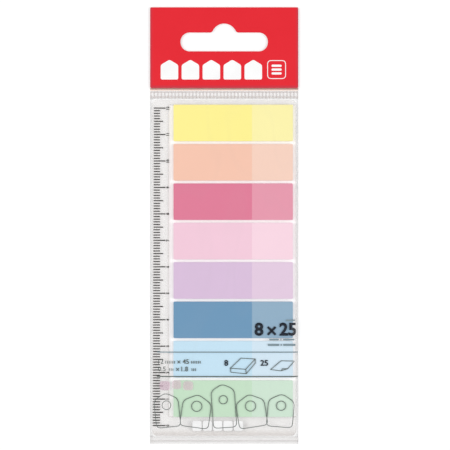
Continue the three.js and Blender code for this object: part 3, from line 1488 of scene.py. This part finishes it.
@dataclass(frozen=True)
class RulerCard:
    """The clear card and the centimetre scale printed down its left edge."""

    extent: Extent
    pads: Extent
    rim: float = 0.12 * MM
    field_left_of_pads: float = 1.9 * MM
    field_right_of_pads: float = 1.2 * MM
    glow_left_of_pads: float = 1.2 * MM
    centimetres: int = 12
    zero_above_end: float = 3.9 * MM
    tick_start: float = 0.65 * MM
    foot_tick_start: float = 0.16 * MM
    tick_width: float = 0.42 * MM
    digit_at: float = 5.88 * MM
    digit_size: float = 1.4 * MM
    digit_weight: float = 0.07 * MM

    def build(self, shop: Workshop) -> None:
        """Builds the card and its scale.

        Args:
            shop: The shared node groups.
        """
        # The card's finish paints light round the pads: a whiter, less clear field and a faint glow.
        finish = ClearCardFinish(
            name="clear_card", field_left=self.pads.left - self.field_left_of_pads,
            field_right=self.pads.right + self.field_right_of_pads,
            field_bottom=self.pads.bottom, field_top=self.pads.top,
            glow_left=self.pads.left - self.glow_left_of_pads, foot=self.extent.bottom,
        )
        bm = copy_of_node("ruler_card")
        round_rim(bm, self.rim)
        piece = as_piece(bm, "ruler_sheet", finish.material(shop))
        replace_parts(piece, "ruler_card")
        ink = InkFinish(name="scale_ink", colour=linear((38, 33, 29))).material(shop)
        self.build_ticks(ink)
        digits = moved(joined(self.digits()), 0.0, 0.0, self.extent.front + INK_THICKNESS / 2)
        as_piece(digits, "scale_digits", ink)

    def height_of(self, millimetre: int) -> float:
        """How far up the pack a millimetre of the scale is."""
        return self.extent.bottom + self.zero_above_end + millimetre * MM

    def tick_kind(self, millimetre: int) -> TickKind:
        """Finds which tick stands at a millimetre of the scale.

        Args:
            millimetre: The place on the scale.

        Returns:
            The kind of tick.
        """
        if millimetre % 10 == 0:
            return TickKind.CENTIMETRE
        return TickKind.HALF if millimetre % 5 == 0 else TickKind.MILLIMETRE

    def build_ticks(self, ink: Material) -> None:
        """Prints one tick for each millimetre, each from a little nearer the edge at the foot.

        Args:
            ink: The scale's ink.
        """
        bm = bmesh.new()
        level = self.extent.front + INK_THICKNESS / 2
        last = self.centimetres * 10
        for millimetre in range(last + 1):
            right = self.extent.left + self.tick_start + self.tick_kind(millimetre).value * MM
            slip = (self.tick_start - self.foot_tick_start) * (1 - millimetre / last)
            left = self.extent.left + self.tick_start - slip
            place = Matrix.Translation(((left + right) / 2, self.height_of(millimetre), level))
            size = Matrix.Diagonal((right - left, self.tick_width, INK_THICKNESS, 1.0))
            bmesh.ops.create_cube(bm, size=1.0, matrix=place @ size)
        as_piece(bm, "scale_ticks", ink)

    def digits(self) -> Iterator[Mesh]:
        """Shapes the centimetre numbers, which read from the bottom up.

        Returns:
            Each number as a thin solid, centred on nought in Z.
        """
        x = self.extent.left + self.digit_at
        for centimetre in range(self.centimetres + 1):
            at = (x, self.height_of(centimetre * 10))
            yield numerals(str(centimetre), self.digit_size, at, self.digit_weight, turn=90.0, steps=2)


# Pads


@dataclass(frozen=True)
class TabPad:
    """One pad: a stack of two-tone sheets, each a hair out of line with the next."""

    colour: TabColour
    split: float
    sheets: int = 25
    stray: float = 0.045 * MM
    fill: float = 0.86

    @property
    def node(self) -> str:
        """The name of the pad's solid."""
        return f"tab_pad_{self.colour.label}"

    def sheet(self, extent: Extent) -> bpy.types.Mesh:
        """Makes one sheet from the solid's outline.

        Args:
            extent: The solid's box.

        Returns:
            The sheet's mesh, with the middle of its back at the origin.
        """
        bm = copy_of_node(self.node)
        flatten = Matrix.Diagonal((1.0, 1.0, self.fill / self.sheets, 1.0))
        to_origin = Matrix.Translation(-Vector((*extent.middle, extent.back)))
        bmesh.ops.transform(bm, matrix=flatten @ to_origin, verts=bm.verts[:])
        mesh = bpy.data.meshes.new("sheet")
        bm.to_mesh(mesh)
        bm.free()
        return mesh

    def build(self, shop: Workshop) -> None:
        """Builds the stack.

        Args:
            shop: The shared node groups.
        """
        label = self.colour.label
        strong, pale = (linear(value) for value in self.colour.value)
        finish = TwoToneFinish(name=f"{label}_tabs", strong=strong, pale=pale, split=self.split)
        extent = Extent.of(self.node)
        middle = Vector((*extent.middle, extent.back))
        pitch = (extent.front - extent.back) / self.sheets
        chance = random.Random(label)
        sheet = self.sheet(extent)
        bm = bmesh.new()
        for index in range(self.sheets):
            known = len(bm.verts)
            bm.from_mesh(sheet)
            shift = Vector((0.0, 0.0, index * pitch + (1 - self.fill) * pitch))
            if index < self.sheets - 1:
                shift.x = chance.uniform(-self.stray, self.stray)
                shift.y = chance.uniform(-self.stray, self.stray)
            bm.verts.ensure_lookup_table()
            bmesh.ops.translate(bm, verts=bm.verts[known:], vec=middle + shift)
        bpy.data.meshes.remove(sheet)
        piece = as_piece(bm, f"pad_{label}", finish.material(shop))
        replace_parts(piece, self.node)


# Print on the bag


@dataclass(frozen=True)
class NumberRow:
    """A row of small numbers, with a cross between them and upright strokes after each.

    Places are in millimetres. Numbers are text and middle, strokes are middle and count.
    """

    y: float
    numbers: tuple[tuple[str, float], ...]
    strokes: tuple[tuple[float, int], ...]
    cross: float


@dataclass(frozen=True)
class OutlinedTab:
    """A large outlined index flag with a ring in it, in millimetres and degrees."""

    x: float
    y: float
    half_width: float
    half_height: float
    tilt: float


@dataclass(frozen=True)
class BagPrint:
    """What is printed on the front film: rules, counts, small pictures and outlined tabs.

    Places in tuples are in millimetres in the frame.
    """

    drape: Drape
    extent: Extent
    float_over: float = 0.02 * MM
    line_over: float = 0.03 * MM
    line_width: float = 0.26 * MM
    finest: float = 0.9 * MM
    most_cuts: int = 9
    rule_top: float = -47.75 * MM
    rule_foot: float = -56.95 * MM
    rule_half_height: float = 0.2 * MM
    rule_corner: float = 0.05 * MM
    rule_left_inset: float = 2.6 * MM
    rule_right_inset: float = 0.2 * MM
    big_counts: tuple[tuple[str, float, float], ...] = (("8", 13.1, -39.1), ("25", 24.0, -39.1))
    big_size: float = 6.6 * MM
    big_weight: float = 0.2 * MM
    big_cross: tuple[float, float, float, float] = (17.9, -39.7, 2.1, 0.84)
    small_counts: tuple[tuple[str, float, float], ...] = (("8", 0.75, -51.8), ("25", 15.1, -51.8))
    small_size: float = 3.0 * MM
    small_weight: float = 0.07 * MM
    number_rows: tuple[NumberRow, ...] = (
        NumberRow(-51.3, (("12", -23.9), ("45", -14.5)), ((-20.4, 6), (-10.7, 6)), -17.1),
        NumberRow(-54.1, (("0.5", -23.5), ("1.8", -14.9)), ((-20.0, 3), (-11.5, 3)), -17.6),
    )
    number_size: float = 2.5 * MM
    number_weight: float = 0.02 * MM
    stroke_pitch: float = 0.66
    outlined_tabs: tuple[OutlinedTab, ...] = (
        OutlinedTab(-21.6, -69.6, 4.6, 6.5, 6.0),
        OutlinedTab(-10.6, -69.9, 5.4, 6.3, -8.0),
        OutlinedTab(-0.2, -68.0, 4.4, 8.3, 4.0),
        OutlinedTab(10.2, -69.8, 5.4, 6.3, 9.0),
        OutlinedTab(21.3, -69.7, 4.9, 6.3, -5.0),
    )
    tab_corner: float = 1.7 * MM

    def build(self, shop: Workshop) -> None:
        """Builds every printed piece.

        Args:
            shop: The shared node groups.
        """
        dark, line, faint = (
            InkFinish(name=name, colour=linear(colour)).material(shop)
            for name, colour in (
                ("dark_ink", (18, 26, 38)), ("line_ink", (94, 102, 98)), ("faint_ink", (128, 146, 154)),
            )
        )
        white = InkFinish(name="film_white_ink", colour=(0.97, 0.97, 0.97), share=0.97).material(shop)
        pink = InkFinish(name="film_pink_ink", colour=linear((250, 214, 234)), share=0.25).material(shop)
        self.lay("print_counts", self.counts(), dark)
        self.lay("print_rule_top", [self.rule(self.rule_top)], faint, self.line_over)
        self.lay("print_rule_foot", [self.rule(self.rule_foot)], line, self.line_over)
        self.lay("print_pictures", self.pictures(), line)
        self.lay("print_small_rows", self.small_rows(), faint)
        self.lay("print_small_numbers", self.small_numbers(), line)
        self.lay("print_outlined_tabs", self.outlines_of_tabs(), line, self.line_over)
        self.lay("print_white_tabs", self.white_tabs(), white)
        self.lay("print_pink_tabs", self.pink_tabs(), pink)

    def lay(self, name: str, parts: Iterable[Mesh], ink: Material, over: float = 0.0) -> None:
        """Lays some ink onto the front film as one piece.

        Args:
            name: The piece's name.
            parts: The shapes of ink, centred on nought in Z.
            ink: The ink's finish.
            over: How much higher than other ink it lies.
        """
        bm = joined(parts)
        for vert in bm.verts:
            vert.co.z += self.drape.height(vert.co.x, vert.co.y) + self.float_over + over
        as_piece(bm, name, ink)

    def ink_in(self, *outlines: Outline) -> Mesh:
        """Fills some outlines with ink that is cut fine enough to follow the film.

        Args:
            outlines: The outlines, where an inner one is a hole.

        Returns:
            The ink, centred on nought in Z.
        """
        bm = filled(outlines, INK_THICKNESS)
        for _ in range(self.most_cuts):
            long_edges = [edge for edge in bm.edges if edge.calc_length() > self.finest]
            if not long_edges:
                break
            bmesh.ops.subdivide_edges(bm, edges=long_edges, cuts=1)
            bmesh.ops.triangulate(bm, faces=[face for face in bm.faces if len(face.verts) > 4])
        return bm

    def bar(self, x: float, y: float, half_width: float, half_height: float, corner: float) -> Mesh:
        """A rounded bar of ink, with every size in millimetres."""
        sizes = (value * MM for value in (x, y, half_width, half_height, corner))
        return self.ink_in(rounded_box(*sizes))

    def cross(self, x: float, y: float, reach: float, width: float) -> Mesh:
        """Shapes a small multiplication cross.

        Args:
            x: Its middle across, in millimetres.
            y: Its middle along, in millimetres.
            reach: How far each arm goes, in millimetres.
            width: How wide an arm is, in millimetres.

        Returns:
            The ink, centred on nought in Z.
        """
        corner_to_width = 0.2
        at = (x * MM, y * MM)
        arm = rounded_box(*at, reach * MM, width * MM / 2, width * MM * corner_to_width)
        return joined(self.ink_in(turned(arm, at, turn)) for turn in (45.0, -45.0))

    def rule(self, y: float) -> Mesh:
        """Shapes a thin rule that runs to the right edge of the bag.

        Args:
            y: How far up the pack it is.

        Returns:
            The ink, centred on nought in Z.
        """
        left = self.extent.left + self.rule_left_inset
        right = self.extent.right - self.rule_right_inset
        middle, half = (left + right) / 2, (right - left) / 2
        return self.ink_in(rounded_box(middle, y, half, self.rule_half_height, self.rule_corner))

    def counts(self) -> Iterator[Mesh]:
        """Shapes the counts: the big one, and the two small ones beside the pictures.

        Returns:
            Each numeral and the cross.
        """
        for text, x, y in self.big_counts:
            yield numerals(text, self.big_size, (x * MM, y * MM), self.big_weight)
        yield self.cross(*self.big_cross)
        for text, x, y in self.small_counts:
            yield numerals(text, self.small_size, (x * MM, y * MM), self.small_weight)

    def small_numbers(self) -> Iterator[Mesh]:
        """Shapes the two rows of small numbers, with a few upright strokes after each.

        Returns:
            Each numeral, stroke and cross.
        """
        below, half_width, half_height, corner = 0.25, 0.13, 0.52, 0.1
        cross_below, cross_reach, cross_width = 0.15, 0.75, 0.26
        for row in self.number_rows:
            for value, x in row.numbers:
                yield numerals(value, self.number_size, (x * MM, row.y * MM), self.number_weight)
            for x, count in row.strokes:
                for index in range(count):
                    across = x + (index - (count - 1) / 2) * self.stroke_pitch
                    yield self.bar(across, row.y - below, half_width, half_height, corner)
            yield self.cross(row.cross, row.y - cross_below, cross_reach, cross_width)

    def pictures(self) -> Iterator[Mesh]:
        """Shapes a small picture of a pad and one of a single sheet with a lifted corner.

        Returns:
            Each line and each round joint between lines.
        """
        lines = (
            ((2.3, -53.8), (6.3, -50.0), (11.7, -50.3), (8.1, -54.2), (2.3, -53.8),
             (2.5, -55.3), (8.3, -55.9), (11.7, -51.9), (11.7, -50.3)),
            ((8.1, -54.2), (8.3, -55.9)),
            ((21.4, -54.8), (17.5, -54.3), (21.4, -51.0), (26.5, -51.1), (23.9, -54.0),
             (21.4, -54.8), (22.0, -54.0), (23.9, -54.0)),
        )
        placed = [[(x * MM, y * MM) for x, y in corners] for corners in lines]
        for corners in placed:
            for start, end in zip(corners, corners[1:]):
                yield self.ink_in(stroke(start, end, self.line_width))
        half = self.line_width / 2
        for x, y in dict.fromkeys(corner for corners in placed for corner in corners):
            yield self.ink_in(rounded_box(x, y, half, half, half))

    def small_rows(self) -> Iterator[Mesh]:
        """Shapes short plain bars in the places of the small rows of print.

        Returns:
            Each bar.
        """
        gap, corner = 0.6, 0.2
        rows = (
            (23.4, -35.75, 0.3, (3.3,)),
            (17.0, -43.0, 0.32, (3.6, 0.4, 4.3)),
            (16.5, -45.0, 0.4, (4.2, 0.4, 4.6)),
        )
        for x, y, half_height, widths in rows:
            for width in widths:
                yield self.bar(x + width / 2, y, width / 2, half_height, corner)
                x += width + gap

    def outlines_of_tabs(self) -> Iterator[Mesh]:
        """Shapes the row of large outlined index flags with a ring in each, tilted this way and that.

        Returns:
            Each flag and each ring as a line of ink.
        """
        ring_to_width, ring_to_height = 0.36, 0.28
        ring_points = 24
        last = 2 * math.pi * (ring_points - 1) / ring_points
        for tab in self.outlined_tabs:
            at = (tab.x * MM, tab.y * MM)
            flag = rounded(self.flag(at, tab.half_width * MM, tab.half_height * MM), self.tab_corner)
            middle = (at[0], at[1] + tab.half_height * ring_to_height * MM)
            ring = arc(middle, tab.half_width * ring_to_width * MM, 0.0, last, ring_points - 1)
            for outline in (flag, ring):
                yield self.ink_in(*line_sides(turned(outline, at, tab.tilt), self.line_width))

    def flag(self, at: Point, half_width: float, half_height: float) -> Outline:
        """Outlines an index flag with a pointed top.

        Args:
            at: The flag's middle.
            half_width: Half of its width.
            half_height: Half of its height.

        Returns:
            Its corners.
        """
        point_to_width = 0.55
        x, y = at
        shoulder = y + half_height - half_width * point_to_width
        low, left, right = y - half_height, x - half_width, x + half_width
        return [(left, low), (right, low), (right, shoulder), (x, y + half_height), (left, shoulder)]

    def white_tabs(self) -> Iterator[Mesh]:
        """Shapes a row of white tabs low on the film.

        Returns:
            Each tab.
        """
        count, left, pitch, width = 5, -12.0, 3.9, 3.5
        y, half_height, corner = -75.6, 1.9, 0.8
        for index in range(count):
            yield self.bar(left + index * pitch + width / 2, y, width / 2, half_height, corner)

    def pink_tabs(self) -> Iterator[Mesh]:
        """Shapes the faint pink tabs over the foot of the scale.

        Returns:
            Each tab.
        """
        half_height, corner = 1.7, 1.2
        for x, y, half_width in ((-22.4, -60.4, 2.0), (-17.9, -60.0, 1.7), (-13.6, -60.4, 1.9)):
            yield self.bar(x, y, half_width, half_height, corner)


# Studio


@dataclass(frozen=True)
class Studio:
    """The pale floor, the soft lights at both sides and the camera that looks straight down."""

    floor_half: float = 1.5
    floor_drop: float = 0.06 * MM
    floor_grey: float = 0.62
    floor_glow: float = 0.45
    camera_height: float = 1.0
    sensor: float = 36.0
    aim: Point = (0.303 * MM, 0.208 * MM)
    sky: float = 0.35
    key_power: float = 3.5
    fill_power: float = 3.4
    lamp_size: float = 0.5
    key_at: tuple[float, float, float] = (-0.5, 0.05, 0.75)
    fill_at: tuple[float, float, float] = (0.5, -0.05, 0.75)
    seen_from: float = 0.01
    seen_to: float = 10.0

    def build(self) -> None:
        """Builds the whole stage."""
        self.build_floor()
        self.build_world()
        self.build_lamp("key_light", self.key_at, self.key_power)
        self.build_lamp("fill_light", self.fill_at, self.fill_power)
        self.build_camera()

    def white_to_eyes(self, tree: Tree) -> Socket:
        """Tells seen rays from lighting ones.

        Args:
            tree: The tree that asks.

        Returns:
            1 for rays from the camera, and for those seen in gloss or through glass.
        """
        path = tree.add("ShaderNodeLightPath").outputs
        seen = tree.maths("MAXIMUM", path["Is Camera Ray"], path["Is Glossy Ray"])
        return tree.maths("MAXIMUM", seen, path["Is Transmission Ray"])

    def floor_material(self) -> Material:
        """Makes a floor that shows white but keeps the pack's shadow.

        Returns:
            The floor's material.
        """
        material = bpy.data.materials.new("floor")
        material.use_nodes = True
        tree = Tree.of(material.node_tree)
        tree.nodes.remove(tree.nodes["Principled BSDF"])
        grey = (self.floor_grey, self.floor_grey, self.floor_grey, 1.0)
        paint = tree.add("ShaderNodeBsdfDiffuse", {"Color": grey}).outputs[0]
        glow = tree.add("ShaderNodeEmission", {"Strength": self.floor_glow}).outputs[0]
        both = tree.add("ShaderNodeAddShader", {0: paint, 1: glow}).outputs[0]
        choice = tree.add("ShaderNodeMixShader", {0: self.white_to_eyes(tree), 1: paint, 2: both})
        tree.feed(tree.nodes["Material Output"], "Surface", choice.outputs[0])
        return material

    def build_floor(self) -> None:
        """Builds the pale floor."""
        bm = bmesh.new()
        bmesh.ops.create_grid(bm, x_segments=4, y_segments=4, size=self.floor_half)
        mesh = bpy.data.meshes.new("floor")
        moved(bm, 0.0, 0.0, -self.floor_drop).to_mesh(mesh)
        bm.free()
        mesh.materials.append(self.floor_material())
        floor = bpy.data.objects.new("floor", mesh)
        bpy.context.scene.collection.objects.link(floor)

    def build_world(self) -> None:
        """Builds an even pale sky that shows white."""
        world = bpy.data.worlds.new("studio")
        world.use_nodes = True
        bpy.context.scene.world = world
        tree = Tree.of(world.node_tree)
        light = tree.nodes["Background"]
        tree.feed(light, "Color", (1.0, 1.0, 1.0, 1.0))
        tree.feed(light, "Strength", tree.scaled(self.white_to_eyes(tree), 1.0 - self.sky, self.sky))

    def build_lamp(self, name: str, at: tuple[float, float, float], power: float) -> None:
        """Hangs a soft square lamp that faces the pack.

        Args:
            name: The lamp's name.
            at: Where it hangs.
            power: Its power in watts.
        """
        lamp = bpy.data.lights.new(name, "AREA")
        lamp.size = self.lamp_size
        lamp.energy = power
        holder = bpy.data.objects.new(name, lamp)
        holder.location = at
        holder.rotation_euler = (-Vector(at)).to_track_quat("-Z", "Y").to_euler()
        bpy.context.scene.collection.objects.link(holder)

    def build_camera(self) -> None:
        """Sets the camera square over the pack, framed as the photograph is."""
        seen_width = PHOTO_PIXELS / PIXELS_PER_MM * MM
        camera = bpy.data.cameras.new("camera")
        camera.sensor_width = self.sensor
        camera.lens = self.sensor * self.camera_height / seen_width
        camera.clip_start = self.seen_from
        camera.clip_end = self.seen_to
        holder = bpy.data.objects.new("camera", camera)
        holder.location = (*self.aim, self.camera_height)
        bpy.context.scene.collection.objects.link(holder)
        bpy.context.scene.camera = holder


def main() -> None:
    """Builds the studio and every piece of the pack, in order."""
    end_play = 0.5 * MM
    shoulder_over_card = 0.5 * MM
    split_across_pad = 29.6 * MM
    logging.basicConfig(level=logging.INFO, format="%(name)s: %(message)s")
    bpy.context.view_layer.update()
    bpy.context.scene.view_settings.view_transform = "Standard"
    Studio().build()
    shop = Workshop.open()
    bag, header, ruler = (Extent.of(node) for node in ("film_bag", "header", "ruler_card"))
    pads = Extent.of(*(f"tab_pad_{colour.label}" for colour in TabColour))
    bottom, top = ruler.bottom - end_play, ruler.top + end_play
    pocket = Extent(bag.left, bag.right, bottom, top, bag.back, bag.front)
    drape = Drape(pocket, pads, shoulder=ruler.front + shoulder_over_card, crown=bag.front)
    RulerCard(ruler, pads).build(shop)
    for colour in TabColour:
        TabPad(colour, split=pads.left + split_across_pad).build(shop)
    FilmBag(bag, drape, header).build(shop)
    BagPrint(drape, bag).build(shop)
    Header(header, red=linear((229, 34, 47))).build(shop)


if __name__ == "__main__":
    main()
